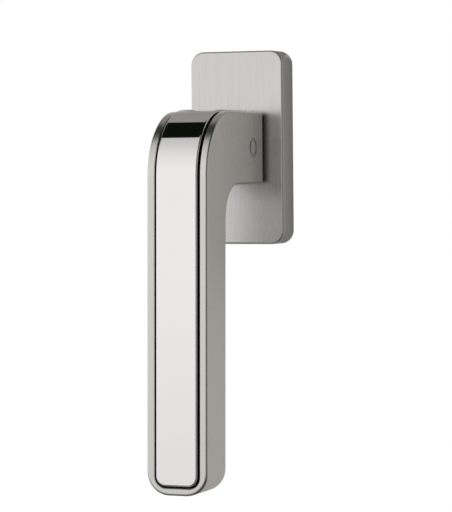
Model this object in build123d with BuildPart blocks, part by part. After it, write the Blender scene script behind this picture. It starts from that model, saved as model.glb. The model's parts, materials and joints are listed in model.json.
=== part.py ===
"""Tilt turn window handle: an L-shaped lever on a rectangular rose, all lengths in millimetres.

The origin is where the spindle's axis meets the mounting face. +Z is up, +Y goes into the sash
and -Y comes out into the room. The lever hangs down, which is the closed position. A "level" is
a distance from the mounting face towards the room, so level 10 is y = -10.
"""

import math
import os

from build123d import *

os.makedirs("parts", exist_ok=True)

# Rose: the visible cover and the die-cast base under it
COVER_WIDTH = 34.8
COVER_HEIGHT = 68.0
COVER_DEPTH = 10.0
COVER_CORNER = 4.8
COVER_EDGE = 0.8
COVER_WALL = 1.6
COVER_HOLE_R = 9.75
COVER_HOLE_EDGE = 0.3
COVER_FIT = 0.15
BASE_WIDTH = COVER_WIDTH - 2 * (COVER_WALL + COVER_FIT)
BASE_HEIGHT = COVER_HEIGHT - 2 * (COVER_WALL + COVER_FIT)
BASE_CORNER = COVER_CORNER - COVER_WALL - COVER_FIT
BASE_DEPTH = 8.2
BASE_EDGE = 0.6

# Fixing: two M5 screws through steel lugs, on the 43 mm pitch of window handles
SCREW_PITCH = 43.0
SCREW_POINTS = ((0, SCREW_PITCH / 2), (0, -SCREW_PITCH / 2))
SCREW_R = 2.5
SCREW_SHANK_R = 2.25
SCREW_THREAD_START = 9.0
SCREW_HOLE_R = 2.7
SCREW_HEAD_R = 4.3
SCREW_HEAD_LAND = 0.2
SCREW_SINK_R = 4.6
SCREW_LENGTH = 45.0
SCREW_TIP = 0.6
SCREW_HEAD_LEVEL = BASE_DEPTH - 0.05
CROSS_SPAN = 4.6
CROSS_SLOT = 0.9
CROSS_DEPTH = 1.9
LUG_R = 5.0
LUG_POCKET_R = 5.05
LUG_SEAT_LEVEL = 5.0
LUG_REACH = 8.0
LUG_EDGE = 0.5

# Index hub: the turning piece that carries the lever and the spindle
FLANGE_R = 12.0
FLANGE_BACK = 1.75
FLANGE_FRONT = 4.95
FLANGE_POCKET_R = 12.3
FLANGE_POCKET_LEVEL = 6.0
JOURNAL_R = 9.0
BOSS_R = 7.0
BOSS_END = 26.3
BOSS_EDGE = 0.5
NOTCH_R = 2.2
NOTCH_CENTRE_R = 13.4
NOTCH_ANGLES = (60, 150, 240, 330)
SQUARE_HOLE = 7.1
SQUARE_HOLE_END = 22.0
GRUB_FLAT_Z = -6.5
GRUB_FLAT_WIDTH = 5.2

# Bearing bush, disc spring and thrust washer
BUSH_BACK_R = 10.0
BUSH_FRONT_R = 9.7
BUSH_BORE_R = 9.03
BUSH_SHOULDER = 8.3
BUSH_FRONT = 10.0
BUSH_SEAT_R = 10.03
DISC_INNER_R = 9.4
DISC_OUTER_R = 12.0
DISC_THICK = 0.5
DISC_GAP = 0.02
WASHER_BACK = 0.9
WASHER_THICK = 0.8
WASHER_OUTER_R = 11.9
WASHER_INNER_R = 5.6

# Retaining plate on the back and its two M2.5 screws
RETAINER_WIDTH = 27.0
RETAINER_HEIGHT = 39.0
RETAINER_THICK = 0.8
RETAINER_RECESS = 0.9
RETAINER_CORNER = 1.5
RETAINER_FIT = 0.1
RETAINER_BORE_R = 7.0
RETAINER_LUG_R = 5.3
PLATE_SCREW_R = 1.2
PLATE_SCREW_HOLE_R = 1.25
PLATE_SCREW_CIRCLE_R = 17.0
PLATE_SCREW_ANGLES = (120, 300)
PLATE_SCREW_HEAD_R = 2.15
PLATE_SCREW_SINK_R = 2.2
PLATE_SCREW_LENGTH = 5.6
PLATE_SCREW_HOLE_LEVEL = 6.0
PLATE_SCREW_SLOT = 0.5
PLATE_SCREW_SLOT_DEPTH = 0.4

# Detents: two sprung balls in radial slots of the base
DETENT_ANGLES = (60, 240)
DETENT_LEVEL = 3.35
BALL_R = 2.0
BALL_CENTRE_R = 14.03
SLOT_WIDTH = 4.2
SLOT_INNER_R = 10.0
SLOT_OUTER_R = 21.0
SLOT_LEVEL = 5.45
SPRING_COIL_R = 1.6
SPRING_WIRE_R = 0.2
SPRING_START_R = 15.58
SPRING_END_R = 20.76
SPRING_TURNS = 5

# Cover clips at the two short ends of the base
CLIP_WIDTH = 7.6
CLIP_THICK = 0.4
CLIP_BEND = 0.5
CLIP_POCKET_WIDTH = 8.0
CLIP_POCKET_LEVEL = 6.8
CLIP_POCKET_FLOOR = 30.1
CLIP_INNER_Z = 30.35
CLIP_OUTER_Z = 31.9
CLIP_BUMP_Z = 32.5
CLIP_TOP_LEVEL = 6.4
CLIP_FOOT_LEVEL = 0.6
CLIP_BUMP_LEVELS = (5.0, 3.8, 2.6)
GROOVE_WIDTH = 9.0
GROOVE_LEVEL = 3.8
GROOVE_HEIGHT = 1.8
GROOVE_DEPTH = 0.5

# Spindle and what locks it and the lever to the hub
SPINDLE_SIDE = 7.0
SPINDLE_INSIDE = 21.8
SPINDLE_REACH = 35.0
SPINDLE_EDGE = 0.6
PIN_R = 1.25
PIN_HOLE_R = 1.26
PIN_BORE_R = 0.75
PIN_SLIT = 0.4
PIN_LENGTH = 13.6
PIN_LEVEL = 16.5
GRUB_R = 2.45
GRUB_HOLE_R = 2.5
GRUB_LEVEL = 20.5
GRUB_TIP_Z = -6.52
GRUB_END_Z = -12.2
GRUB_KEY_FLATS = 2.5
GRUB_KEY_DEPTH = 2.4
GRUB_EDGE = 0.3

# Neck collar: the spacer that turns with the neck, just clear of the cover
COLLAR_BACK = 10.3
COLLAR_INSET = 0.7
COLLAR_CORNER = 1.2
COLLAR_BORE_R = 9.05

# Lever: a flat bar that runs out as the neck, bends down and leans 1.5 degrees into the room
LEVER_WIDTH = 21.85
LEVER_THICK = 17.2
NECK_BACK = 13.3
NECK_TOP = 12.4
NECK_BOTTOM = -12.7
OUTER_BEND = 22.4
INNER_BEND = 11.7
REACH = 64.3
LEAN = 1.5
LEVER_BOTTOM = -116.0
BOTTOM_CORNER = 7.8
FRONT_EDGE = 0.8
BACK_EDGE = 1.2
NECK_END_EDGE = 0.25
SOCKET_R = 7.05
SOCKET_END = 27.4

# Framed recess down the lever's front, and the strip glued into it
SIDE_BAND = 2.75
END_BAND = 2.45
RECESS_DEPTH = 2.2
RECESS_CORNER = 4.0
FRAME_EDGE = 0.2
INSERT_GAP = 0.75
INSERT_PROUD = 0.65
INSERT_EDGE = 0.6
TAPE_THICK = 0.3
TAPE_GAP = 0.05
CUTTER_PROUD = 3.0
PEG_R = 1.5
PEG_HOLE_R = 1.65
PEG_LENGTH = 3.5
PEG_HOLE_DEPTH = 6.0
PEG_HEIGHTS = (-38.0, -92.0)

# Plain engraved ring on the right side of the neck
RING_OUTER_R = 3.3
RING_INNER_R = 2.4
RING_DEPTH = 0.6
RING_LEVEL = 22.2

SLOPE = math.tan(math.radians(LEAN))
UPRIGHT = 1 / math.cos(math.radians(LEAN))
LEVER_HALF = LEVER_WIDTH / 2
THROUGH = 60.0
TINY = 0.01


def facing_room(x, z, level):
    """Plane at a point of the given level, looking into the room."""
    return Plane(origin=(x, -level, z), x_dir=(1, 0, 0), z_dir=(0, -1, 0))


def polar(radius, angle):
    """The (x, z) point at a radius and an angle from the spindle's axis."""
    return radius * math.cos(math.radians(angle)), radius * math.sin(math.radians(angle))


def front_y(z, depth=0.0):
    """The y of the lever's leaning front plane at height z, or of a plane that deep below it."""
    lean_start = NECK_TOP - OUTER_BEND
    return -REACH - (lean_start - z) * SLOPE + depth * UPRIGHT


def ribbon_profile(deep, shallow, end_margin):
    """Side profile of a layer that follows the lever's top and front between two depths."""
    back = -NECK_BACK - end_margin
    low = LEVER_BOTTOM + end_margin
    skin_z = NECK_TOP - shallow
    floor_z = NECK_TOP - deep
    skin = (back, skin_z), (front_y(skin_z, shallow), skin_z), (front_y(low, shallow), low)
    floor = (back, floor_z), (front_y(floor_z, deep), floor_z), (front_y(low, deep), low)
    with BuildSketch(Plane.YZ) as profile:
        with BuildLine():
            FilletPolyline(*skin, radius=OUTER_BEND - shallow)
            FilletPolyline(*floor, radius=OUTER_BEND - deep)
            Line(skin[0], floor[0])
            Line(skin[-1], floor[-1])
        make_face()
    return profile.sketch


def end_corners(part):
    """The short edges at the two ends of a layer made from ribbon_profile."""
    lower = part.edges().filter_by(Axis.Y).group_by(Axis.Z)[0]
    rear = part.edges().filter_by(Axis.Z).group_by(Axis.Y)[-1]
    return lower + rear


def crosswise(part, kind):
    """Faces of a kind that run across the lever, from side to side."""
    return part.faces().filter_by(kind).filter_by(
        lambda f: abs(f.center().X) < PEG_R and abs(f.normal_at().X) < SLOPE
    )


def front_skin(part):
    """The neck's top, the outer bend and the leaning front, as far as a layer has them."""
    flats = crosswise(part, GeomType.PLANE)
    bend = crosswise(part, GeomType.CYLINDER).sort_by(Axis.Y)[0]
    return [flats.sort_by(Axis.Z)[-1], bend, flats.sort_by(Axis.Y)[0]]


def rear_skin(part):
    """The neck's underside, the inner bend and the leaning back of the grip."""
    flats = crosswise(part, GeomType.PLANE)
    bend = crosswise(part, GeomType.CYLINDER).sort_by(Axis.Y)[-1]
    under = flats.filter_by(Axis.Z).sort_by(Axis.Z)[1]
    return [under, bend, flats.filter_by(lambda f: f.center().Y < -OUTER_BEND).sort_by(Axis.Y)[-1]]


def rim(faces, half):
    """The side edges and the lowest edge of a run of faces."""
    edges = ShapeList(edge for face in faces for edge in face.edges())
    return edges.filter_by(lambda e: abs(e.center().X) > half / 2) + edges.sort_by(Axis.Z)[:1]


def on_recess_outline(edge):
    """Whether an edge is where the framed recess breaks the lever's top, bend or front."""
    middle = edge.center()
    bend_z = NECK_TOP - OUTER_BEND
    bend_y = front_y(bend_z, OUTER_BEND)
    from_bend = math.hypot(middle.Y - bend_y, middle.Z - bend_z)
    on_skin = (
        abs(middle.Z - NECK_TOP) < TINY
        or abs(middle.Y - front_y(middle.Z)) < TINY
        or abs(from_bend - OUTER_BEND) < TINY
    )
    outer_corner_r = BOTTOM_CORNER - FRONT_EDGE
    outer_corner = edge.geom_type == GeomType.CIRCLE and abs(edge.radius - outer_corner_r) < TINY
    return (
        on_skin
        and not outer_corner
        and abs(middle.X) < LEVER_HALF - SIDE_BAND + TINY
        and middle.Z > LEVER_BOTTOM + END_BAND - TINY
        and middle.Y < -NECK_BACK - END_BAND + TINY
    )


# Rose cover: a shallow pressed box that hides the base and its screws
with BuildPart() as rose_cover:
    with BuildSketch(Plane.XZ):
        RectangleRounded(COVER_WIDTH, COVER_HEIGHT, COVER_CORNER)
    extrude(amount=COVER_DEPTH)
    fillet(rose_cover.faces().sort_by(Axis.Y)[0].edges(), COVER_EDGE)
    with BuildSketch(Plane.XZ):
        RectangleRounded(
            COVER_WIDTH - 2 * COVER_WALL,
            COVER_HEIGHT - 2 * COVER_WALL,
            COVER_CORNER - COVER_WALL,
        )
    extrude(amount=COVER_DEPTH - COVER_WALL, mode=Mode.SUBTRACT)
    with BuildSketch(Plane.XZ):
        Circle(COVER_HOLE_R)
    extrude(amount=COVER_DEPTH, mode=Mode.SUBTRACT)
    hole_rim = rose_cover.faces().sort_by(Axis.Y)[0].edges().filter_by(GeomType.CIRCLE)
    chamfer(hole_rim.filter_by(lambda e: abs(e.radius - COVER_HOLE_R) < COVER_EDGE), COVER_HOLE_EDGE)
    # Grooves inside the short walls, where the clips snap in
    groove_z = COVER_HEIGHT / 2 - COVER_WALL
    with Locations((0, -GROOVE_LEVEL, groove_z), (0, -GROOVE_LEVEL, -groove_z)):
        Box(GROOVE_WIDTH, GROOVE_HEIGHT, 2 * GROOVE_DEPTH, mode=Mode.SUBTRACT)

# Base plate: a zinc casting that carries the bearing, the detents and the screws
with BuildPart() as base_plate:
    with BuildSketch(Plane.XZ):
        RectangleRounded(BASE_WIDTH, BASE_HEIGHT, BASE_CORNER)
    extrude(amount=BASE_DEPTH)
    chamfer(base_plate.faces().sort_by(Axis.Y)[0].edges(), BASE_EDGE)
    with BuildSketch(Plane.XZ):
        RectangleRounded(
            RETAINER_WIDTH + 2 * RETAINER_FIT,
            RETAINER_HEIGHT + 2 * RETAINER_FIT,
            RETAINER_CORNER + RETAINER_FIT,
        )
    extrude(amount=RETAINER_RECESS, mode=Mode.SUBTRACT)
    with BuildSketch(Plane.XZ):
        Circle(FLANGE_POCKET_R)
    extrude(amount=FLANGE_POCKET_LEVEL, mode=Mode.SUBTRACT)
    with BuildSketch(Plane.XZ):
        Circle(BUSH_SEAT_R)
    extrude(amount=BASE_DEPTH, mode=Mode.SUBTRACT)
    with BuildSketch(Plane.XZ):
        for angle in DETENT_ANGLES:
            slot_middle = polar((SLOT_INNER_R + SLOT_OUTER_R) / 2, angle)
            with Locations(Location((*slot_middle, 0), (0, 0, angle))):
                Rectangle(SLOT_OUTER_R - SLOT_INNER_R, SLOT_WIDTH)
    extrude(amount=SLOT_LEVEL, mode=Mode.SUBTRACT)
    with BuildSketch(Plane.XZ):
        with Locations(*SCREW_POINTS):
            Circle(LUG_POCKET_R)
    extrude(amount=LUG_SEAT_LEVEL, mode=Mode.SUBTRACT)
    with Locations(*[facing_room(x, z, BASE_DEPTH) for x, z in SCREW_POINTS]):
        CounterSinkHole(SCREW_HOLE_R, SCREW_SINK_R, counter_sink_angle=90)
    with BuildSketch(Plane.XZ):
        with Locations(*[polar(PLATE_SCREW_CIRCLE_R, angle) for angle in PLATE_SCREW_ANGLES]):
            Circle(PLATE_SCREW_HOLE_R)
    extrude(amount=PLATE_SCREW_HOLE_LEVEL, mode=Mode.SUBTRACT)
    # Pockets for the clips, open to the base's short ends
    pocket_middle = (CLIP_POCKET_FLOOR + BASE_HEIGHT / 2 + COVER_FIT) / 2
    pocket_height = BASE_HEIGHT / 2 + COVER_FIT - CLIP_POCKET_FLOOR
    with BuildSketch(Plane.XZ):
        with Locations((0, pocket_middle), (0, -pocket_middle)):
            Rectangle(CLIP_POCKET_WIDTH, pocket_height)
    extrude(amount=CLIP_POCKET_LEVEL, mode=Mode.SUBTRACT)

# Cover clips: two bent spring strips with a bump each
with BuildPart() as cover_clips:
    bump_start, bump_top, bump_end = CLIP_BUMP_LEVELS
    with BuildSketch(Plane.YZ):
        with BuildLine():
            FilletPolyline(
                (-CLIP_FOOT_LEVEL, CLIP_INNER_Z),
                (-CLIP_TOP_LEVEL, CLIP_INNER_Z),
                (-CLIP_TOP_LEVEL, CLIP_OUTER_Z),
                (-bump_start, CLIP_OUTER_Z),
                (-bump_top, CLIP_BUMP_Z),
                (-bump_end, CLIP_OUTER_Z),
                (-CLIP_FOOT_LEVEL, CLIP_OUTER_Z - CLIP_THICK / 2),
                radius=CLIP_BEND,
            )
        trace(line_width=CLIP_THICK)
    extrude(amount=CLIP_WIDTH / 2, both=True)
    mirror(about=Plane.XY)

# Bearing bush: black nylon, stepped under the cover and flush with its front
with BuildPart() as bearing_bush:
    with BuildSketch(Plane.YZ):
        with BuildLine():
            Polyline(
                (-FLANGE_POCKET_LEVEL, BUSH_BORE_R),
                (-FLANGE_POCKET_LEVEL, BUSH_BACK_R),
                (-BUSH_SHOULDER, BUSH_BACK_R),
                (-BUSH_SHOULDER, BUSH_FRONT_R),
                (-BUSH_FRONT, BUSH_FRONT_R),
                (-BUSH_FRONT, BUSH_BORE_R),
                close=True,
            )
        make_face()
    revolve(axis=Axis.Y)

# Disc spring: a coned ring that takes up the play between bush and flange
with BuildPart() as disc_spring:
    disc_back = -FLANGE_FRONT - DISC_GAP
    disc_front = -FLANGE_POCKET_LEVEL + DISC_GAP
    with BuildSketch(Plane.YZ):
        with BuildLine():
            Polyline(
                (disc_front, DISC_INNER_R),
                (disc_front + DISC_THICK, DISC_INNER_R),
                (disc_back, DISC_OUTER_R),
                (disc_back - DISC_THICK, DISC_OUTER_R),
                close=True,
            )
        make_face()
    revolve(axis=Axis.Y)

# Thrust washer: nylon, between the flange and the retaining plate
with BuildPart() as thrust_washer:
    with BuildSketch(Plane.XZ.offset(WASHER_BACK)):
        Circle(WASHER_OUTER_R)
        Circle(WASHER_INNER_R, mode=Mode.SUBTRACT)
    extrude(amount=WASHER_THICK)

# Retaining plate: closes the back of the base and is notched round the lugs
with BuildPart() as retaining_plate:
    with BuildSketch(Plane.XZ):
        RectangleRounded(RETAINER_WIDTH, RETAINER_HEIGHT, RETAINER_CORNER)
        Circle(RETAINER_BORE_R, mode=Mode.SUBTRACT)
        with Locations(*SCREW_POINTS):
            Circle(RETAINER_LUG_R, mode=Mode.SUBTRACT)
    extrude(amount=RETAINER_THICK)
    for angle in PLATE_SCREW_ANGLES:
        screw_x, screw_z = polar(PLATE_SCREW_CIRCLE_R, angle)
        with Locations(Plane(origin=(screw_x, 0, screw_z), x_dir=(1, 0, 0), z_dir=(0, 1, 0))):
            CounterSinkHole(
                PLATE_SCREW_SINK_R - RETAINER_THICK, PLATE_SCREW_SINK_R, counter_sink_angle=90
            )

# Retaining plate screws: M2.5, flush with the back
with BuildPart() as retaining_plate_screws:
    for angle in PLATE_SCREW_ANGLES:
        screw_x, screw_z = polar(PLATE_SCREW_CIRCLE_R, angle)
        head_depth = PLATE_SCREW_HEAD_R - PLATE_SCREW_R
        with BuildSketch(Plane.YZ.offset(screw_x)):
            with BuildLine():
                Polyline(
                    (0, screw_z),
                    (0, screw_z + PLATE_SCREW_HEAD_R),
                    (-head_depth, screw_z + PLATE_SCREW_R),
                    (-PLATE_SCREW_LENGTH, screw_z + PLATE_SCREW_R),
                    (-PLATE_SCREW_LENGTH, screw_z),
                    close=True,
                )
            make_face()
        revolve(axis=Axis((screw_x, 0, screw_z), (0, 1, 0)))
        with Locations((screw_x, 0, screw_z)):
            Box(
                THROUGH / 10,
                2 * PLATE_SCREW_SLOT_DEPTH,
                PLATE_SCREW_SLOT,
                mode=Mode.SUBTRACT,
            )

# Support lugs: steel sleeves that locate in the sash's two 10 mm holes
with BuildPart() as support_lugs:
    with BuildSketch(Plane.XZ.offset(-LUG_REACH)):
        with Locations(*SCREW_POINTS):
            Circle(LUG_R)
            Circle(SCREW_HOLE_R, mode=Mode.SUBTRACT)
    extrude(amount=LUG_REACH + LUG_SEAT_LEVEL)
    lug_tips = support_lugs.faces().sort_by(Axis.Y)[-2:].edges()
    chamfer(lug_tips.filter_by(lambda e: abs(e.radius - LUG_R) < LUG_EDGE), LUG_EDGE)

# Fixing screws: two M5 countersunk screws with a cross recess and a thinner shank up to the thread
with BuildPart() as fixing_screws:
    head_y = -SCREW_HEAD_LEVEL
    tip_y = head_y + SCREW_LENGTH
    cone_y = head_y + SCREW_HEAD_LAND
    shank_y = cone_y + SCREW_HEAD_R - SCREW_SHANK_R
    for screw_x, screw_z in SCREW_POINTS:
        with BuildSketch(Plane.YZ.offset(screw_x)):
            with BuildLine():
                Polyline(
                    (head_y, screw_z),
                    (head_y, screw_z + SCREW_HEAD_R),
                    (cone_y, screw_z + SCREW_HEAD_R),
                    (shank_y, screw_z + SCREW_SHANK_R),
                    (SCREW_THREAD_START, screw_z + SCREW_SHANK_R),
                    (SCREW_THREAD_START, screw_z + SCREW_R),
                    (tip_y - SCREW_TIP, screw_z + SCREW_R),
                    (tip_y, screw_z + SCREW_R - SCREW_TIP),
                    (tip_y, screw_z),
                    close=True,
                )
            make_face()
        revolve(axis=Axis((screw_x, 0, screw_z), (0, 1, 0)))
    with BuildSketch(Plane.XZ.offset(SCREW_HEAD_LEVEL)):
        with Locations(*SCREW_POINTS):
            Rectangle(CROSS_SPAN, CROSS_SLOT)
            Rectangle(CROSS_SLOT, CROSS_SPAN)
    extrude(amount=-CROSS_DEPTH, mode=Mode.SUBTRACT)


def detent_axis(angle):
    """Outward direction of a detent slot."""
    x, z = polar(1, angle)
    return Vector(x, 0, z)


def on_slot(radius, angle):
    """Point on a detent slot's centreline."""
    x, z = polar(radius, angle)
    return Vector(x, -DETENT_LEVEL, z)


# Detent balls: each runs on the flange and drops into its notches
with BuildPart() as upper_detent_ball:
    with Locations(on_slot(BALL_CENTRE_R, DETENT_ANGLES[0])):
        Sphere(BALL_R)

with BuildPart() as lower_detent_ball:
    with Locations(on_slot(BALL_CENTRE_R, DETENT_ANGLES[1])):
        Sphere(BALL_R)

# Detent springs: coil springs between each ball and the outer end of its slot
SPRING_HEIGHT = SPRING_END_R - SPRING_START_R
with BuildPart() as upper_detent_spring:
    with BuildLine() as upper_coil:
        Helix(
            SPRING_HEIGHT / SPRING_TURNS,
            SPRING_HEIGHT,
            SPRING_COIL_R,
            center=on_slot(SPRING_START_R, DETENT_ANGLES[0]),
            direction=detent_axis(DETENT_ANGLES[0]),
        )
    with BuildSketch(Plane(origin=upper_coil.line @ 0, z_dir=upper_coil.line % 0)):
        Circle(SPRING_WIRE_R)
    sweep(path=upper_coil.line, is_frenet=True)

with BuildPart() as lower_detent_spring:
    with BuildLine() as lower_coil:
        Helix(
            SPRING_HEIGHT / SPRING_TURNS,
            SPRING_HEIGHT,
            SPRING_COIL_R,
            center=on_slot(SPRING_START_R, DETENT_ANGLES[1]),
            direction=detent_axis(DETENT_ANGLES[1]),
        )
    with BuildSketch(Plane(origin=lower_coil.line @ 0, z_dir=lower_coil.line % 0)):
        Circle(SPRING_WIRE_R)
    sweep(path=lower_coil.line, is_frenet=True)

# Index hub: notched flange, journal in the bush, boss in the lever, square hole for the spindle
with BuildPart() as index_hub:
    with BuildSketch(Plane.YZ):
        with BuildLine():
            Polyline(
                (-FLANGE_BACK, 0),
                (-FLANGE_BACK, FLANGE_R),
                (-FLANGE_FRONT, FLANGE_R),
                (-FLANGE_FRONT, JOURNAL_R),
                (-NECK_BACK, JOURNAL_R),
                (-NECK_BACK, BOSS_R),
                (-BOSS_END + BOSS_EDGE, BOSS_R),
                (-BOSS_END, BOSS_R - BOSS_EDGE),
                (-BOSS_END, 0),
                close=True,
            )
        make_face()
    revolve(axis=Axis.Y)
    with BuildSketch(Plane.XZ):
        with Locations(*[polar(NOTCH_CENTRE_R, angle) for angle in NOTCH_ANGLES]):
            Circle(NOTCH_R)
    extrude(amount=FLANGE_FRONT, mode=Mode.SUBTRACT)
    with BuildSketch(Plane.XZ):
        Rectangle(SQUARE_HOLE, SQUARE_HOLE)
    extrude(amount=SQUARE_HOLE_END, mode=Mode.SUBTRACT)
    with BuildSketch(Plane.YZ):
        with Locations((-PIN_LEVEL, 0)):
            Circle(PIN_HOLE_R)
    extrude(amount=THROUGH, both=True, mode=Mode.SUBTRACT)
    with Locations((0, -GRUB_LEVEL, GRUB_FLAT_Z)):
        Box(
            2 * BOSS_R,
            GRUB_FLAT_WIDTH,
            BOSS_R,
            align=(Align.CENTER, Align.CENTER, Align.MAX),
            mode=Mode.SUBTRACT,
        )

# Square spindle: goes through the sash and drives the lock
with BuildPart() as square_spindle:
    with BuildSketch(Plane.XZ.offset(-SPINDLE_REACH)):
        Rectangle(SPINDLE_SIDE, SPINDLE_SIDE)
    extrude(amount=SPINDLE_REACH + SPINDLE_INSIDE)
    spindle_ends = square_spindle.faces().filter_by(Axis.Y).edges()
    chamfer(spindle_ends, SPINDLE_EDGE)
    with BuildSketch(Plane.YZ):
        with Locations((-PIN_LEVEL, 0)):
            Circle(PIN_HOLE_R)
    extrude(amount=THROUGH, both=True, mode=Mode.SUBTRACT)

# Spindle pin: a slit spring pin across the hub and the spindle
with BuildPart() as spindle_pin:
    with BuildSketch(Plane.YZ):
        with Locations((-PIN_LEVEL, 0)):
            Circle(PIN_R)
            Circle(PIN_BORE_R, mode=Mode.SUBTRACT)
        with Locations((-PIN_LEVEL, PIN_R / 2)):
            Rectangle(PIN_SLIT, PIN_R, mode=Mode.SUBTRACT)
    extrude(amount=PIN_LENGTH / 2, both=True)

# Grub screw: M5, from under the neck onto the hub's flat
with BuildPart() as grub_screw:
    with BuildSketch(Plane.XY.offset(GRUB_END_Z)):
        with Locations((0, -GRUB_LEVEL)):
            Circle(GRUB_R)
    extrude(amount=GRUB_TIP_Z - GRUB_END_Z)
    chamfer(grub_screw.edges().filter_by(GeomType.CIRCLE), GRUB_EDGE)
    with BuildSketch(Plane.XY.offset(GRUB_END_Z)):
        with Locations((0, -GRUB_LEVEL)):
            RegularPolygon(GRUB_KEY_FLATS / 2, 6, major_radius=False)
    extrude(amount=GRUB_KEY_DEPTH, mode=Mode.SUBTRACT)

# Recess cutter: the space that the frame of the lever leaves for tape and strip
with BuildPart() as recess_cutter:
    cutter_profile = ribbon_profile(RECESS_DEPTH, -CUTTER_PROUD, END_BAND)
    extrude(cutter_profile, amount=LEVER_HALF - SIDE_BAND, both=True)
    fillet(end_corners(recess_cutter), RECESS_CORNER)

# Lever body: neck and grip in one casting
with BuildPart() as lever_body:
    with BuildSketch(Plane.YZ):
        top_back = (-NECK_BACK, NECK_TOP)
        under_back = (-NECK_BACK, NECK_BOTTOM)
        front_low = (front_y(LEVER_BOTTOM), LEVER_BOTTOM)
        rear_low = (front_y(LEVER_BOTTOM) + LEVER_THICK, LEVER_BOTTOM)
        with BuildLine():
            FilletPolyline(top_back, (front_y(NECK_TOP), NECK_TOP), front_low, radius=OUTER_BEND)
            FilletPolyline(
                under_back,
                (front_y(NECK_BOTTOM) + LEVER_THICK, NECK_BOTTOM),
                rear_low,
                radius=INNER_BEND,
            )
            Line(top_back, under_back)
            Line(front_low, rear_low)
        make_face()
    extrude(amount=LEVER_HALF, both=True)
    fillet(lever_body.edges().filter_by(Axis.Y).group_by(Axis.Z)[0], BOTTOM_CORNER)
    fillet(rim(front_skin(lever_body), LEVER_HALF), FRONT_EDGE)
    fillet(rim(rear_skin(lever_body), LEVER_HALF), BACK_EDGE)
    fillet(lever_body.faces().sort_by(Axis.Y)[-1].edges(), NECK_END_EDGE)
    add(recess_cutter.part, mode=Mode.SUBTRACT)
    chamfer(lever_body.edges().filter_by(on_recess_outline), FRAME_EDGE)
    with BuildSketch(Plane.XZ.offset(NECK_BACK)):
        Circle(SOCKET_R)
    extrude(amount=SOCKET_END - NECK_BACK, mode=Mode.SUBTRACT)
    with BuildSketch(Plane.XY):
        with Locations((0, -GRUB_LEVEL)):
            Circle(GRUB_HOLE_R)
    extrude(amount=2 * NECK_BOTTOM, mode=Mode.SUBTRACT)
    for z in PEG_HEIGHTS:
        with BuildSketch(Plane.XZ.offset(-front_y(z))):
            with Locations((0, z)):
                Circle(PEG_HOLE_R)
        extrude(amount=-PEG_HOLE_DEPTH, mode=Mode.SUBTRACT)
    with BuildSketch(Plane.YZ.offset(LEVER_HALF)):
        with Locations((-RING_LEVEL, 0)):
            Circle(RING_OUTER_R)
            Circle(RING_INNER_R, mode=Mode.SUBTRACT)
    extrude(amount=-RING_DEPTH, mode=Mode.SUBTRACT)

# Neck collar: black nylon, pressed on the journal behind the neck
with BuildPart() as neck_collar:
    with BuildSketch(Plane.XZ.offset(COLLAR_BACK)):
        with Locations((0, (NECK_TOP + NECK_BOTTOM) / 2)):
            RectangleRounded(
                LEVER_WIDTH - 2 * COLLAR_INSET,
                NECK_TOP - NECK_BOTTOM - 2 * COLLAR_INSET,
                COLLAR_CORNER,
            )
        Circle(COLLAR_BORE_R, mode=Mode.SUBTRACT)
    extrude(amount=NECK_BACK - COLLAR_BACK)

# Front insert: the polished strip, proud of its frame, with two pegs behind it
with BuildPart() as front_insert:
    strip_profile = ribbon_profile(
        RECESS_DEPTH - TAPE_THICK, -INSERT_PROUD, END_BAND + INSERT_GAP
    )
    extrude(strip_profile, amount=LEVER_HALF - SIDE_BAND - INSERT_GAP, both=True)
    fillet(end_corners(front_insert), RECESS_CORNER - INSERT_GAP)
    strip_skin = front_skin(front_insert)
    fillet(rim(strip_skin, LEVER_HALF) + strip_skin[0].edges().sort_by(Axis.Y)[-1:], INSERT_EDGE)
    for z in PEG_HEIGHTS:
        with BuildSketch(Plane.XZ.offset(-front_y(z, INSERT_PROUD))):
            with Locations((0, z)):
                Circle(PEG_R)
        extrude(amount=-PEG_LENGTH - RECESS_DEPTH + INSERT_PROUD)

# Insert tape: the black double-sided tape on the floor of the recess, holed for the pegs
with BuildPart() as insert_tape:
    tape_profile = ribbon_profile(RECESS_DEPTH, RECESS_DEPTH - TAPE_THICK, END_BAND + TAPE_GAP)
    extrude(tape_profile, amount=LEVER_HALF - SIDE_BAND - TAPE_GAP, both=True)
    fillet(end_corners(insert_tape), RECESS_CORNER - TAPE_GAP)
    for z in PEG_HEIGHTS:
        with BuildSketch(Plane.XZ.offset(-front_y(z))):
            with Locations((0, z)):
                Circle(PEG_HOLE_R)
        extrude(amount=-PEG_HOLE_DEPTH, mode=Mode.SUBTRACT)

rose_cover.part.label = "rose_cover"
export_step(rose_cover.part, "parts/rose_cover.step")

base_plate.part.label = "base_plate"
export_step(base_plate.part, "parts/base_plate.step")

cover_clips.part.label = "cover_clips"
export_step(cover_clips.part, "parts/cover_clips.step")

bearing_bush.part.label = "bearing_bush"
export_step(bearing_bush.part, "parts/bearing_bush.step")

disc_spring.part.label = "disc_spring"
export_step(disc_spring.part, "parts/disc_spring.step")

thrust_washer.part.label = "thrust_washer"
export_step(thrust_washer.part, "parts/thrust_washer.step")

retaining_plate.part.label = "retaining_plate"
export_step(retaining_plate.part, "parts/retaining_plate.step")

retaining_plate_screws.part.label = "retaining_plate_screws"
export_step(retaining_plate_screws.part, "parts/retaining_plate_screws.step")

support_lugs.part.label = "support_lugs"
export_step(support_lugs.part, "parts/support_lugs.step")

fixing_screws.part.label = "fixing_screws"
export_step(fixing_screws.part, "parts/fixing_screws.step")

upper_detent_ball.part.label = "upper_detent_ball"
export_step(upper_detent_ball.part, "parts/upper_detent_ball.step")

lower_detent_ball.part.label = "lower_detent_ball"
export_step(lower_detent_ball.part, "parts/lower_detent_ball.step")

upper_detent_spring.part.label = "upper_detent_spring"
export_step(upper_detent_spring.part, "parts/upper_detent_spring.step")

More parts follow.
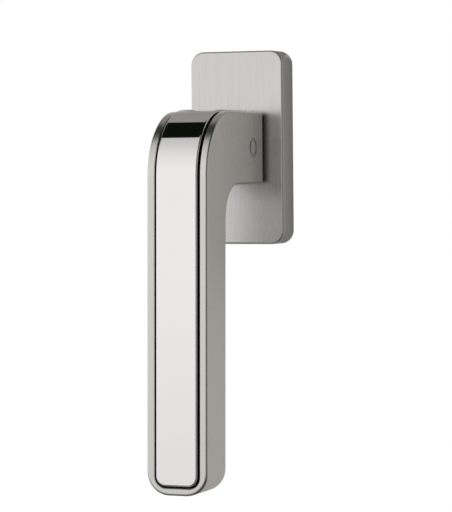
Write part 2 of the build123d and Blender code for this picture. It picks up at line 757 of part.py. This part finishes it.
lower_detent_spring.part.label = "lower_detent_spring"
export_step(lower_detent_spring.part, "parts/lower_detent_spring.step")

index_hub.part.label = "index_hub"
export_step(index_hub.part, "parts/index_hub.step")

square_spindle.part.label = "square_spindle"
export_step(square_spindle.part, "parts/square_spindle.step")

spindle_pin.part.label = "spindle_pin"
export_step(spindle_pin.part, "parts/spindle_pin.step")

grub_screw.part.label = "grub_screw"
export_step(grub_screw.part, "parts/grub_screw.step")

lever_body.part.label = "lever_body"
export_step(lever_body.part, "parts/lever_body.step")

neck_collar.part.label = "neck_collar"
export_step(neck_collar.part, "parts/neck_collar.step")

front_insert.part.label = "front_insert"
export_step(front_insert.part, "parts/front_insert.step")

insert_tape.part.label = "insert_tape"
export_step(insert_tape.part, "parts/insert_tape.step")
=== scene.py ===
"""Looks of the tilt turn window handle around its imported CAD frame. Every length is in metres."""

import json
import math

import bmesh
import bpy
from mathutils import Matrix, Vector


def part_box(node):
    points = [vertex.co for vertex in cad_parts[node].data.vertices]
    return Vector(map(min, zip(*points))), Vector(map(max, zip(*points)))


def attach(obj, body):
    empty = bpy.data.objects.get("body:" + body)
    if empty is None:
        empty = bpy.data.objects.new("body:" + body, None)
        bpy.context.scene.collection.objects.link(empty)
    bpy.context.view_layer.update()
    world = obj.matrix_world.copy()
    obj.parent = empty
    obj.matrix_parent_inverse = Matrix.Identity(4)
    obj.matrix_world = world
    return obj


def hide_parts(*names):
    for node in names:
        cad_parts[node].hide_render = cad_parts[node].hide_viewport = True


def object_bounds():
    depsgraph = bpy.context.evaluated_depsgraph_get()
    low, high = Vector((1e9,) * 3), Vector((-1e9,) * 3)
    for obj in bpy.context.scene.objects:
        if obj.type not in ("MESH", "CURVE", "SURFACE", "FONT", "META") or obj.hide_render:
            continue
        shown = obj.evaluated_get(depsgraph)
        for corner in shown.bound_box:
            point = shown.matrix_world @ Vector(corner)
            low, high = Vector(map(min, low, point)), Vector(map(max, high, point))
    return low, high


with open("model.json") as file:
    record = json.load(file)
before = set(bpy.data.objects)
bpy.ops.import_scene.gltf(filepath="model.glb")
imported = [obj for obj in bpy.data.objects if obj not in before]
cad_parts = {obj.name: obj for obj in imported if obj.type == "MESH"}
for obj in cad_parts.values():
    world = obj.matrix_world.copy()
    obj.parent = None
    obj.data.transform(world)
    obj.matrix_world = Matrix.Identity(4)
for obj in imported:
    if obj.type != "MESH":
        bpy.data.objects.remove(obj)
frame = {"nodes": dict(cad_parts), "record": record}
cad_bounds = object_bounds()
nodes = frame["nodes"]

MM = 0.001

# Camera, fitted to the outlines of the object. It looks at AIM_X, AIM_Y and AIM_RISE above the middle of
# the object's height. Lens and sensor are in millimetres
CAMERA_AZIMUTH = math.radians(22)
CAMERA_ELEVATION = math.radians(2.22)
CAMERA_ROLL = math.radians(-0.56)
CAMERA_DISTANCE = 0.85
CAMERA_LENS = 173.08
CAMERA_SENSOR = 36.0
CAMERA_NEAR = 0.05
CAMERA_FAR = 80.0
AIM_X = 0.00351
AIM_Y = -0.030
AIM_RISE = 0.00364

# Floor, FLOOR_DROP below the lever's tip, and one soft light in front, to the left and above
FLOOR_DROP = 0.53
FLOOR_HALF = 30.0
FLOOR_GREY = (0.85, 0.85, 0.85, 1)
FLOOR_GLOW = 0.8
LIGHT_POWER = 1.2
LIGHT_SIDE = 0.9
LIGHT_DISTANCE = 1.6
LIGHT_FROM = (-0.6, -0.7, 0.4)
WHITE = (1, 1, 1, 1)

# Studio by direction: bright in front and to the left, dim to the right and below.
# AROUND: 0 and 1 are left, 0.25 is front, 0.5 is right and 0.75 is behind. UPWARD: degrees above level
AROUND = [
    (0.0, 1.04),
    (0.12, 1.04),
    (0.19, 0.99),
    (0.24, 0.94),
    (0.28, 0.56),
    (0.32, 0.20),
    (0.37, 0.12),
    (0.43, 0.18),
    (0.50, 0.42),
    (0.57, 0.20),
    (0.66, 0.25),
    (0.76, 0.62),
    (0.90, 0.85),
    (1.0, 1.04),
]
UPWARD = [
    (-90, 0.50),
    (-76, 0.40),
    (-60, 0.14),
    (-44, 0.12),
    (-20, 0.50),
    (-10, 0.76),
    (-5, 0.89),
    (0, 1.0),
    (12, 1.0),
    (29, 0.915),
    (41, 0.82),
    (50, 0.70),
    (62, 0.58),
    (90, 0.60),
]

# Black card overhead, with soft edges: the front one by the direction's y and the lower one by its z
CARD_FRONT = (-0.31, -0.285)
CARD_LOWER = (0.50, 0.56)
CARD_COLOUR = (0.004, 0.0062, 0.0038)

# Board just behind the mounting face. Its light grows from NEAR the rose to FAR from it within a few FADEs,
# dims above the rose (SHADE) and below the lever (FOOT), and is BOARD_LEFT on the rose's left
BOARD_LEVEL = 1 * MM
BOARD_REACH = 1.5
BOARD_TOP = 183 * MM
BOARD_TINT = (1.0, 0.968, 0.928, 1)
BOARD_NEAR = 0.185
BOARD_FAR = 0.50
BOARD_FADE = 14 * MM
BOARD_LEFT = 0.75
SHADE_START = 38 * MM
SHADE_FULL = 60 * MM
SHADE_SHARE = 0.65
FOOT_START = 28 * MM
FOOT_FULL = 61.6 * MM
FOOT_SHARE = 0.1

# Noise: how rough it is, and the range that its middle tones fill
NOISE_ROUGHNESS = 0.6
NOISE_LOW = 0.25
NOISE_HIGH = 0.75

# Pointiness where wear starts on an edge and where it is full
WEAR_START = 0.52
WEAR_FULL = 0.60


def node_of(tree, kind, inputs=(), **settings):
    """New node with settings on itself and values or links on its inputs."""
    made = tree.nodes.new(kind)
    for name, value in settings.items():
        setattr(made, name, value)
    for name, value in dict(inputs).items():
        if isinstance(value, bpy.types.NodeSocket):
            tree.links.new(value, made.inputs[name])
        else:
            made.inputs[name].default_value = value
    return made


def ramp_of(tree, factor, stops):
    """Grey ramp through (position, grey) stops."""
    made = node_of(tree, "ShaderNodeValToRGB", {"Fac": factor})
    elements = made.color_ramp.elements
    while len(elements) < len(stops):
        elements.new(0.5)
    for element, (position, grey) in zip(elements, stops):
        element.position = position
        element.color = (grey, grey, grey, 1.0)
    return made.outputs["Color"]


def maths(tree, operation, *values):
    """Result of one Math node."""
    return node_of(tree, "ShaderNodeMath", dict(enumerate(values)), operation=operation).outputs[0]


def between(tree, value, low, high, to_low=0.0, to_high=1.0):
    """Value mapped from low..high to to_low..to_high and held there outside."""
    made = node_of(
        tree,
        "ShaderNodeMapRange",
        {"Value": value, "From Min": low, "From Max": high, "To Min": to_low, "To Max": to_high},
    )
    return made.outputs["Result"]


def mixed(tree, factor, first, second):
    """Two colours mixed, each a socket or a plain colour."""
    made = node_of(tree, "ShaderNodeMix", data_type="RGBA")
    for name, value in (("Factor_Float", factor), ("A_Color", first), ("B_Color", second)):
        socket = next(s for s in made.inputs if s.identifier == name)
        if isinstance(value, bpy.types.NodeSocket):
            tree.links.new(value, socket)
        else:
            socket.default_value = (*value, 1.0)
    return next(s for s in made.outputs if s.identifier == "Result_Color")


# Stage: studio, board, floor, light and camera


def make_world():
    """Studio light by direction; the camera itself sees plain white."""
    world = bpy.data.worlds.new("studio")
    bpy.context.scene.world = world
    world.use_nodes = True
    tree = world.node_tree
    tree.nodes.clear()
    direction = node_of(tree, "ShaderNodeTexCoord").outputs["Generated"]
    axes = node_of(tree, "ShaderNodeSeparateXYZ", {"Vector": direction})
    x, y, z = (axes.outputs[i] for i in range(3))
    turn = between(tree, maths(tree, "ARCTAN2", y, x), -math.pi, math.pi)
    lift = between(tree, maths(tree, "ARCSINE", z), -math.pi / 2, math.pi / 2)
    around = ramp_of(tree, turn, AROUND)
    height = ramp_of(tree, lift, [((degrees + 90) / 180, share) for degrees, share in UPWARD])
    light = node_of(
        tree, "ShaderNodeVectorMath", {0: around, 1: height}, operation="MULTIPLY"
    ).outputs["Vector"]
    card = maths(tree, "MULTIPLY", between(tree, y, *CARD_FRONT), between(tree, z, *CARD_LOWER))
    lit = mixed(tree, card, light, CARD_COLOUR)
    studio = node_of(tree, "ShaderNodeBackground", {"Color": lit, "Strength": 1.0}).outputs[0]
    white = node_of(tree, "ShaderNodeBackground", {"Color": WHITE, "Strength": 1.0}).outputs[0]
    seen = node_of(tree, "ShaderNodeLightPath").outputs["Is Camera Ray"]
    both = node_of(tree, "ShaderNodeMixShader", {0: seen, 1: studio, 2: white}).outputs[0]
    node_of(tree, "ShaderNodeOutputWorld", {"Surface": both})


def stage_plane(name, corners):
    """Flat stage object with an empty material tree; returns the object and the tree."""
    mesh = bpy.data.meshes.new(name)
    mesh.from_pydata(corners, [], [(0, 1, 2, 3)])
    plane = bpy.data.objects.new(name, mesh)
    bpy.context.scene.collection.objects.link(plane)
    material = bpy.data.materials.new(name)
    material.use_nodes = True
    material.node_tree.nodes.clear()
    mesh.materials.append(material)
    return plane, material.node_tree


def one_sided(tree, front):
    """Shows a shader from the front of a plane and nothing from behind."""
    clear = node_of(tree, "ShaderNodeBsdfTransparent").outputs[0]
    behind = node_of(tree, "ShaderNodeNewGeometry").outputs["Backfacing"]
    both = node_of(tree, "ShaderNodeMixShader", {0: behind, 1: front, 2: clear}).outputs[0]
    node_of(tree, "ShaderNodeOutputMaterial", {"Surface": both})


def beyond(tree, value, half):
    """How far a coordinate is outside -half..half."""
    return maths(tree, "MAXIMUM", maths(tree, "SUBTRACT", maths(tree, "ABSOLUTE", value), half), 0.0)


def make_board():
    """Board that only satin and polished surfaces mirror: open behind the rose and dim beside it."""
    corners = [
        (-BOARD_REACH, BOARD_LEVEL, -BOARD_REACH),
        (BOARD_REACH, BOARD_LEVEL, -BOARD_REACH),
        (BOARD_REACH, BOARD_LEVEL, BOARD_TOP),
        (-BOARD_REACH, BOARD_LEVEL, BOARD_TOP),
    ]
    board, tree = stage_plane("back_board", corners)
    rose_low, rose_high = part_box("rose_cover")
    lever_low = cad_bounds[0].z
    where = node_of(tree, "ShaderNodeTexCoord").outputs["Object"]
    axes = node_of(tree, "ShaderNodeSeparateXYZ", {"Vector": where})
    x, z = axes.outputs[0], axes.outputs[2]

    aside = beyond(tree, x, rose_high.x)
    above = beyond(tree, z, rose_high.z)
    squares = maths(tree, "ADD", maths(tree, "POWER", aside, 2.0), maths(tree, "POWER", above, 2.0))
    away = maths(tree, "SQRT", squares)
    fade = maths(tree, "EXPONENT", maths(tree, "DIVIDE", away, -BOARD_FADE))
    glow = between(tree, fade, 0.0, 1.0, BOARD_FAR, BOARD_NEAR)

    shade = between(tree, z, SHADE_START, SHADE_FULL, 1.0, SHADE_SHARE)
    glow = maths(tree, "MULTIPLY", glow, shade)
    foot = between(tree, z, lever_low - FOOT_FULL, lever_low - FOOT_START, FOOT_SHARE, 1.0)
    glow = maths(tree, "MULTIPLY", glow, foot)

    left = between(tree, x, rose_low.x - BOARD_FADE, rose_low.x, BOARD_LEFT, 0.0)
    beside = between(tree, above, 0.0, BOARD_FADE, 1.0, 0.0)
    glow = maths(tree, "MAXIMUM", glow, maths(tree, "MULTIPLY", left, beside))

    lit = node_of(tree, "ShaderNodeEmission", {"Color": BOARD_TINT, "Strength": glow}).outputs[0]
    clear = node_of(tree, "ShaderNodeBsdfTransparent").outputs[0]
    outside = maths(tree, "GREATER_THAN", away, 0.0)
    one_sided(tree, node_of(tree, "ShaderNodeMixShader", {0: outside, 1: clear, 2: lit}).outputs[0])
    board.visible_camera = False
    board.visible_diffuse = False
    board.visible_shadow = False


def make_floor():
    """Plain pale floor, well below the wall fitting; seen from above only."""
    level = cad_bounds[0].z - FLOOR_DROP
    corners = [(x * FLOOR_HALF, y * FLOOR_HALF, level) for x, y in ((-1, -1), (1, -1), (1, 1), (-1, 1))]
    floor, tree = stage_plane("floor", corners)
    matt = node_of(tree, "ShaderNodeBsdfDiffuse", {"Color": FLOOR_GREY}).outputs[0]
    glow = node_of(tree, "ShaderNodeEmission", {"Color": WHITE, "Strength": FLOOR_GLOW}).outputs[0]
    one_sided(tree, node_of(tree, "ShaderNodeAddShader", {0: matt, 1: glow}).outputs[0])
    floor.visible_glossy = False


def make_light():
    """One large soft light, turned to the middle of the object."""
    data = bpy.data.lights.new("soft_light", "AREA")
    data.shape = "RECTANGLE"
    data.size = LIGHT_SIDE
    data.size_y = LIGHT_SIDE
    data.energy = LIGHT_POWER
    light = bpy.data.objects.new("soft_light", data)
    light.visible_glossy = False
    bpy.context.scene.collection.objects.link(light)
    centre = (cad_bounds[0] + cad_bounds[1]) / 2
    away = Vector(LIGHT_FROM).normalized()
    light.location = centre + away * LIGHT_DISTANCE
    light.rotation_euler = (-away).to_track_quat("-Z", "Y").to_euler()


def make_camera():
    """Camera at the photograph's viewing angle."""
    azimuth, elevation = CAMERA_AZIMUTH, CAMERA_ELEVATION
    back = Vector(
        (
            math.sin(azimuth) * math.cos(elevation),
            -math.cos(azimuth) * math.cos(elevation),
            math.sin(elevation),
        )
    )
    right = Vector((math.cos(azimuth), math.sin(azimuth), 0))
    up = back.cross(right)
    level_right = math.cos(CAMERA_ROLL) * right + math.sin(CAMERA_ROLL) * up
    level_up = math.cos(CAMERA_ROLL) * up - math.sin(CAMERA_ROLL) * right
    middle = (cad_bounds[0].z + cad_bounds[1].z) / 2
    place = Vector((AIM_X, AIM_Y, middle + AIM_RISE)) + back * CAMERA_DISTANCE
    data = bpy.data.cameras.new("camera")
    data.lens = CAMERA_LENS
    data.sensor_width = CAMERA_SENSOR
    data.clip_start = CAMERA_NEAR
    data.clip_end = CAMERA_FAR
    camera = bpy.data.objects.new("camera", data)
    bpy.context.scene.collection.objects.link(camera)
    turned = Matrix((level_right, level_up, back)).transposed().to_4x4()
    camera.matrix_world = Matrix.Translation(place) @ turned
    bpy.context.scene.camera = camera


# Materials


class Paint:
    """A material's node tree with short calls for what the finishes share."""

    def __init__(self, name, metallic, ior=1.5, specular=0.5, anisotropic=0.0):
        self.material = bpy.data.materials.new(name)
        self.material.use_nodes = True
        self.tree = self.material.node_tree
        self.shader = self.tree.nodes["Principled BSDF"]
        self.shader.inputs["Metallic"].default_value = metallic
        self.shader.inputs["IOR"].default_value = ior
        self.shader.inputs["Specular IOR Level"].default_value = specular
        self.shader.inputs["Anisotropic"].default_value = anisotropic
        self.where = node_of(self.tree, "ShaderNodeTexCoord").outputs["Object"]
        self.normal = None

    def placed(self, size, shift):
        """Coordinates in steps of size metres along x, y and z."""
        per_metre = tuple(1.0 / s for s in size)
        inputs = {"Vector": self.where, "Scale": per_metre, "Location": (shift, shift, shift)}
        return node_of(self.tree, "ShaderNodeMapping", inputs).outputs["Vector"]

    def noise(self, size, detail=2.0, shift=0.0):
        """Noise whose spots are size metres long in x, y and z."""
        place = self.placed(size, shift)
        inputs = {"Vector": place, "Scale": 1.0, "Detail": detail, "Roughness": NOISE_ROUGHNESS}
        return node_of(self.tree, "ShaderNodeTexNoise", inputs).outputs["Fac"]

    def cells(self, size):
        """Distance to the nearest of scattered points, about size metres apart."""
        inputs = {"Vector": self.placed(size, 0.0), "Scale": 1.0}
        return node_of(self.tree, "ShaderNodeTexVoronoi", inputs).outputs["Distance"]

    def sharp_edges(self):
        """1 on outer edges, where handling wears a finish."""
        pointiness = node_of(self.tree, "ShaderNodeNewGeometry").outputs["Pointiness"]
        return between(self.tree, pointiness, WEAR_START, WEAR_FULL)

    def colour(self, dark, light, factor):
        """Base colour between two tones, each a socket or a plain colour."""
        self.tree.links.new(mixed(self.tree, factor, dark, light), self.shader.inputs["Base Color"])

    def worn_colour(self, dark, light, worn, factor):
        """Base colour between two tones, with a third where the edges are worn."""
        base = mixed(self.tree, factor, dark, light)
        self.colour(base, worn, self.sharp_edges())

    def roughness(self, low, high, factor):
        """Roughness between two values."""
        value = between(self.tree, factor, NOISE_LOW, NOISE_HIGH, low, high)
        self.tree.links.new(value, self.shader.inputs["Roughness"])

    def bump(self, height, distance):
        """Relief of a real depth in metres, added to what is there."""
        inputs = {"Height": height, "Distance": distance}
        if self.normal is not None:
            inputs["Normal"] = self.normal
        self.normal = node_of(self.tree, "ShaderNodeBump", inputs).outputs["Normal"]
        self.tree.links.new(self.normal, self.shader.inputs["Normal"])


def tone(colour, share):
    """A colour made darker or lighter by a share."""
    return tuple(c * share for c in colour)


def rose_satin():
    """Satin nickel, brushed lengthwise, so highlights spread sideways."""
    paint = Paint("rose_satin", metallic=1.0, anisotropic=0.65)
    around = node_of(paint.tree, "ShaderNodeTangent", direction_type="RADIAL", axis="Z").outputs[0]
    paint.tree.links.new(around, paint.shader.inputs["Tangent"])
    streaks = paint.noise((0.50 * MM, 0.50 * MM, 60 * MM), detail=2.0)
    hairlines = paint.noise((0.12 * MM, 0.12 * MM, 15 * MM), detail=2.0, shift=7.0)
    nickel = (0.657, 0.647, 0.634)
    paint.worn_colour(tone(nickel, 0.92), tone(nickel, 1.08), (0.72, 0.71, 0.69), streaks)
    paint.roughness(0.25, 0.33, hairlines)
    paint.bump(hairlines, 0.0006 * MM)
    paint.bump(streaks, 0.0010 * MM)
    return paint.material


def lever_satin():
    """Satin nickel with a very fine grain along the grip."""
    paint = Paint("lever_satin", metallic=1.0)
    grain = paint.noise((0.16 * MM, 0.16 * MM, 4 * MM), detail=2.0)
    drift = paint.noise((9 * MM, 9 * MM, 22 * MM), detail=1.0, shift=3.0)
    nickel = (0.680, 0.667, 0.643)
    paint.worn_colour(tone(nickel, 0.985), tone(nickel, 1.015), (0.72, 0.70, 0.67), drift)
    paint.roughness(0.25, 0.32, grain)
    paint.bump(grain, 0.0010 * MM)
    return paint.material


def strip_polished():
    """Polished nickel with the faintest wiping marks."""
    paint = Paint("strip_polished", metallic=1.0)
    wipes = paint.noise((1.2 * MM, 1.2 * MM, 30 * MM), detail=3.0)
    clouds = paint.noise((6 * MM, 6 * MM, 12 * MM), detail=2.0, shift=5.0)
    polish = (0.836, 0.811, 0.804)
    paint.colour(tone(polish, 0.995), tone(polish, 1.005), clouds)
    paint.roughness(0.03, 0.05, wipes)
    return paint.material


def zinc_cast():
    """Raw die-cast zinc: matt, slightly blotched, with a fine cast skin."""
    paint = Paint("zinc_cast", metallic=1.0)
    blotches = paint.noise((5 * MM, 5 * MM, 5 * MM), detail=5.0)
    skin = paint.noise((0.5 * MM, 0.5 * MM, 0.5 * MM), detail=4.0, shift=2.0)
    zinc = (0.43, 0.44, 0.46)
    paint.worn_colour(tone(zinc, 0.88), tone(zinc, 1.10), (0.62, 0.63, 0.65), blotches)
    paint.roughness(0.48, 0.66, skin)
    paint.bump(skin, 0.03 * MM)
    return paint.material


def steel_zinc_plated():
    """Zinc-plated steel with a bluish sheen and fine drawing marks along its length."""
    paint = Paint("steel_zinc_plated", metallic=1.0)
    drawn = paint.noise((0.25 * MM, 6 * MM, 0.25 * MM), detail=3.0)
    sheen = paint.noise((4 * MM, 4 * MM, 4 * MM), detail=2.0, shift=4.0)
    paint.worn_colour((0.55, 0.57, 0.60), (0.66, 0.67, 0.67), (0.75, 0.75, 0.76), sheen)
    paint.roughness(0.26, 0.40, drawn)
    paint.bump(drawn, 0.004 * MM)
    return paint.material


def steel_spring():
    """Oiled spring steel, dark, with a faint brown cast."""
    paint = Paint("steel_spring", metallic=1.0)
    oil = paint.noise((2.5 * MM, 2.5 * MM, 2.5 * MM), detail=3.0)
    drawn = paint.noise((0.12 * MM, 0.12 * MM, 0.12 * MM), detail=2.0, shift=1.0)
    paint.worn_colour((0.30, 0.295, 0.29), (0.42, 0.415, 0.40), (0.60, 0.59, 0.58), oil)
    paint.roughness(0.22, 0.36, oil)
    paint.bump(drawn, 0.002 * MM)
    return paint.material


def steel_ball():
    """Ground bearing steel."""
    paint = Paint("steel_ball", metallic=1.0)
    haze = paint.noise((0.8 * MM, 0.8 * MM, 0.8 * MM), detail=2.0)
    paint.colour((0.72, 0.72, 0.73), (0.77, 0.77, 0.78), haze)
    paint.roughness(0.05, 0.10, haze)
    return paint.material


def steel_black():
    """Black oxide steel, rubbed to grey on its edges."""
    paint = Paint("steel_black", metallic=1.0)
    bloom = paint.noise((0.7 * MM, 0.7 * MM, 0.7 * MM), detail=3.0)
    paint.worn_colour((0.045, 0.045, 0.05), (0.075, 0.075, 0.08), (0.25, 0.25, 0.26), bloom)
    paint.roughness(0.38, 0.52, bloom)
    paint.bump(bloom, 0.004 * MM)
    return paint.material


def nylon(name, dark, light):
    """Moulded nylon with a faint spark-eroded grain."""
    paint = Paint(name, metallic=0.0, ior=1.53, specular=0.45)
    grain = paint.noise((0.18 * MM, 0.18 * MM, 0.18 * MM), detail=3.0)
    flow = paint.noise((3 * MM, 3 * MM, 6 * MM), detail=2.0, shift=6.0)
    paint.colour(dark, light, flow)
    paint.roughness(0.44, 0.58, grain)
    paint.bump(grain, 0.006 * MM)
    return paint.material


def nylon_black():
    """Black nylon of the collar and the bush."""
    return nylon("nylon_black", (0.006, 0.006, 0.007), (0.011, 0.011, 0.012))


def nylon_white():
    """Natural nylon of the thrust washer."""
    return nylon("nylon_white", (0.74, 0.73, 0.69), (0.82, 0.81, 0.77))


def tape_black():
    """Black acrylic foam tape with its open cells."""
    paint = Paint("tape_black", metallic=0.0, ior=1.45, specular=0.1)
    cells = paint.cells((0.25 * MM, 0.25 * MM, 0.25 * MM))
    paint.colour((0.004, 0.004, 0.004), (0.009, 0.009, 0.009), cells)
    paint.roughness(0.75, 0.9, cells)
    paint.bump(cells, 0.04 * MM)
    return paint.material


FINISHES = (
    rose_satin, lever_satin, strip_polished, zinc_cast, steel_zinc_plated, steel_spring,
    steel_ball, steel_black, nylon_black, nylon_white, tape_black,
)


def finish_nodes():
    """Gives every CAD node the finish of its slot in the record, and returns the finishes by name."""
    made = {finish.__name__: finish() for finish in FINISHES}
    for part in frame["record"]["subparts"]:
        node = nodes[part["node"]]
        for index in range(len(node.data.materials)):
            node.data.materials[index] = made[part["material_slot"]]
    return made


# Fixing screws with real threads. THREAD_START is where the thread begins along Y. THREAD_PROFILE is one
# turn's section after its root: shares of the pitch and of the depth

THREAD_PITCH = 0.8 * MM
THREAD_DEPTH = 0.43 * MM
THREAD_START = 9 * MM
THREAD_TIP = 0.4 * MM
THREAD_STEPS = 32
THREAD_PROFILE = ((0.25, 0.0), (0.56, 1.0), (0.69, 1.0))
SHARP_ANGLE = math.radians(35)
WELD = 0.001 * MM
SLACK = 0.01 * MM


def ring_points(axis, level, radius):
    """Points round a screw's axis at one level."""
    turns = [2 * math.pi * step / THREAD_STEPS for step in range(THREAD_STEPS)]
    return [(axis.x + radius * math.cos(a), level, axis.z + radius * math.sin(a)) for a in turns]


def add_thread(bm, axis, tip, radius):
    """Adds one closed helical thread that ends at the screw's tip and runs out into its shank."""
    end = tip - THREAD_TIP
    turns = math.ceil((end - THREAD_START) / THREAD_PITCH)
    start = end - turns * THREAD_PITCH
    count = (turns - 1) * THREAD_STEPS
    root = radius - THREAD_DEPTH

    def point(index, share, lift):
        fade = min(1.0, index / (THREAD_STEPS / 2), max(0, count - index) / THREAD_STEPS)
        angle = 2 * math.pi * index / THREAD_STEPS
        reach = root + THREAD_DEPTH * lift * fade
        level = start + THREAD_PITCH * (index / THREAD_STEPS + share)
        return bm.verts.new((axis.x + reach * math.cos(angle), level, axis.z + reach * math.sin(angle)))

    root_line = [point(index, 0.0, 0.0) for index in range(count + THREAD_STEPS + 1)]
    flanks = [[point(index, *place) for place in THREAD_PROFILE] for index in range(count + 1)]
    for index in range(count):
        here = [root_line[index], *flanks[index], root_line[index + THREAD_STEPS]]
        there = [root_line[index + 1], *flanks[index + 1], root_line[index + 1 + THREAD_STEPS]]
        for low in range(len(here) - 1):
            bm.faces.new((here[low], there[low], there[low + 1], here[low + 1]))

    first = [root_line[0]] + [bm.verts.new(p) for p in ring_points(axis, start, root)[1:]]
    last = [root_line[-1]] + [bm.verts.new(p) for p in ring_points(axis, end, root)[1:]]
    nose = [bm.verts.new(p) for p in ring_points(axis, tip, root - THREAD_TIP)]
    bm.faces.new((first[0], first[1], root_line[1]))
    for step in range(1, THREAD_STEPS - 1):
        bm.faces.new((first[step], first[step + 1], root_line[step + 1], root_line[step]))
    bm.faces.new((first[-1], first[0], *flanks[0], root_line[THREAD_STEPS], root_line[THREAD_STEPS - 1]))
    bm.faces.new((root_line[count], root_line[count + 1], last[1], last[0], *reversed(flanks[count])))
    for step in range(1, THREAD_STEPS - 1):
        bm.faces.new((root_line[count + step], root_line[count + step + 1], last[step + 1], last[step]))
    bm.faces.new((root_line[-2], last[0], last[-1]))
    for step in range(THREAD_STEPS):
        beside = (step + 1) % THREAD_STEPS
        bm.faces.new((last[step], last[beside], nose[beside], nose[step]))
    bm.faces.new(first)
    bm.faces.new(nose)


def make_screws(finish):
    """The record's two fixing screws, with their heads and shanks as in CAD and cut threads."""
    low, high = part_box("fixing_screws")
    mount = next(m for m in frame["record"]["mounts"] if m["name"] == "fixing_screws")
    head_radius = (high.x - low.x) / 2
    bm = bmesh.new()
    bm.from_mesh(nodes["fixing_screws"].data)
    bmesh.ops.remove_doubles(bm, verts=bm.verts, dist=WELD)
    threaded = [v for v in bm.verts if v.co.y > THREAD_START + SLACK]
    bmesh.ops.delete(bm, geom=threaded, context="VERTS")
    step_faces = [f for f in bm.faces if all(v.co.y > THREAD_START - SLACK for v in f.verts)]
    bmesh.ops.delete(bm, geom=step_faces, context="FACES")
    bmesh.ops.holes_fill(bm, edges=[e for e in bm.edges if e.is_boundary])
    for height in (high.z - head_radius, low.z + head_radius):
        add_thread(bm, Vector((0, 0, height)), high.y, mount["dims"]["stud_r_mm"] * MM)
    bmesh.ops.recalc_face_normals(bm, faces=bm.faces)
    mesh = bpy.data.meshes.new("threaded_screws")
    bm.to_mesh(mesh)
    bm.free()
    mesh.shade_smooth()
    mesh.set_sharp_from_angle(angle=SHARP_ANGLE)
    mesh.materials.clear()
    mesh.materials.append(finish)
    screws = bpy.data.objects.new("threaded_screws", mesh)
    bpy.context.scene.collection.objects.link(screws)
    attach(screws, "rose")
    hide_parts("fixing_screws")


make_world()
make_floor()
make_board()
make_light()
make_camera()
finishes = finish_nodes()
make_screws(finishes["steel_zinc_plated"])
bpy.context.scene.view_settings.view_transform = "Standard"
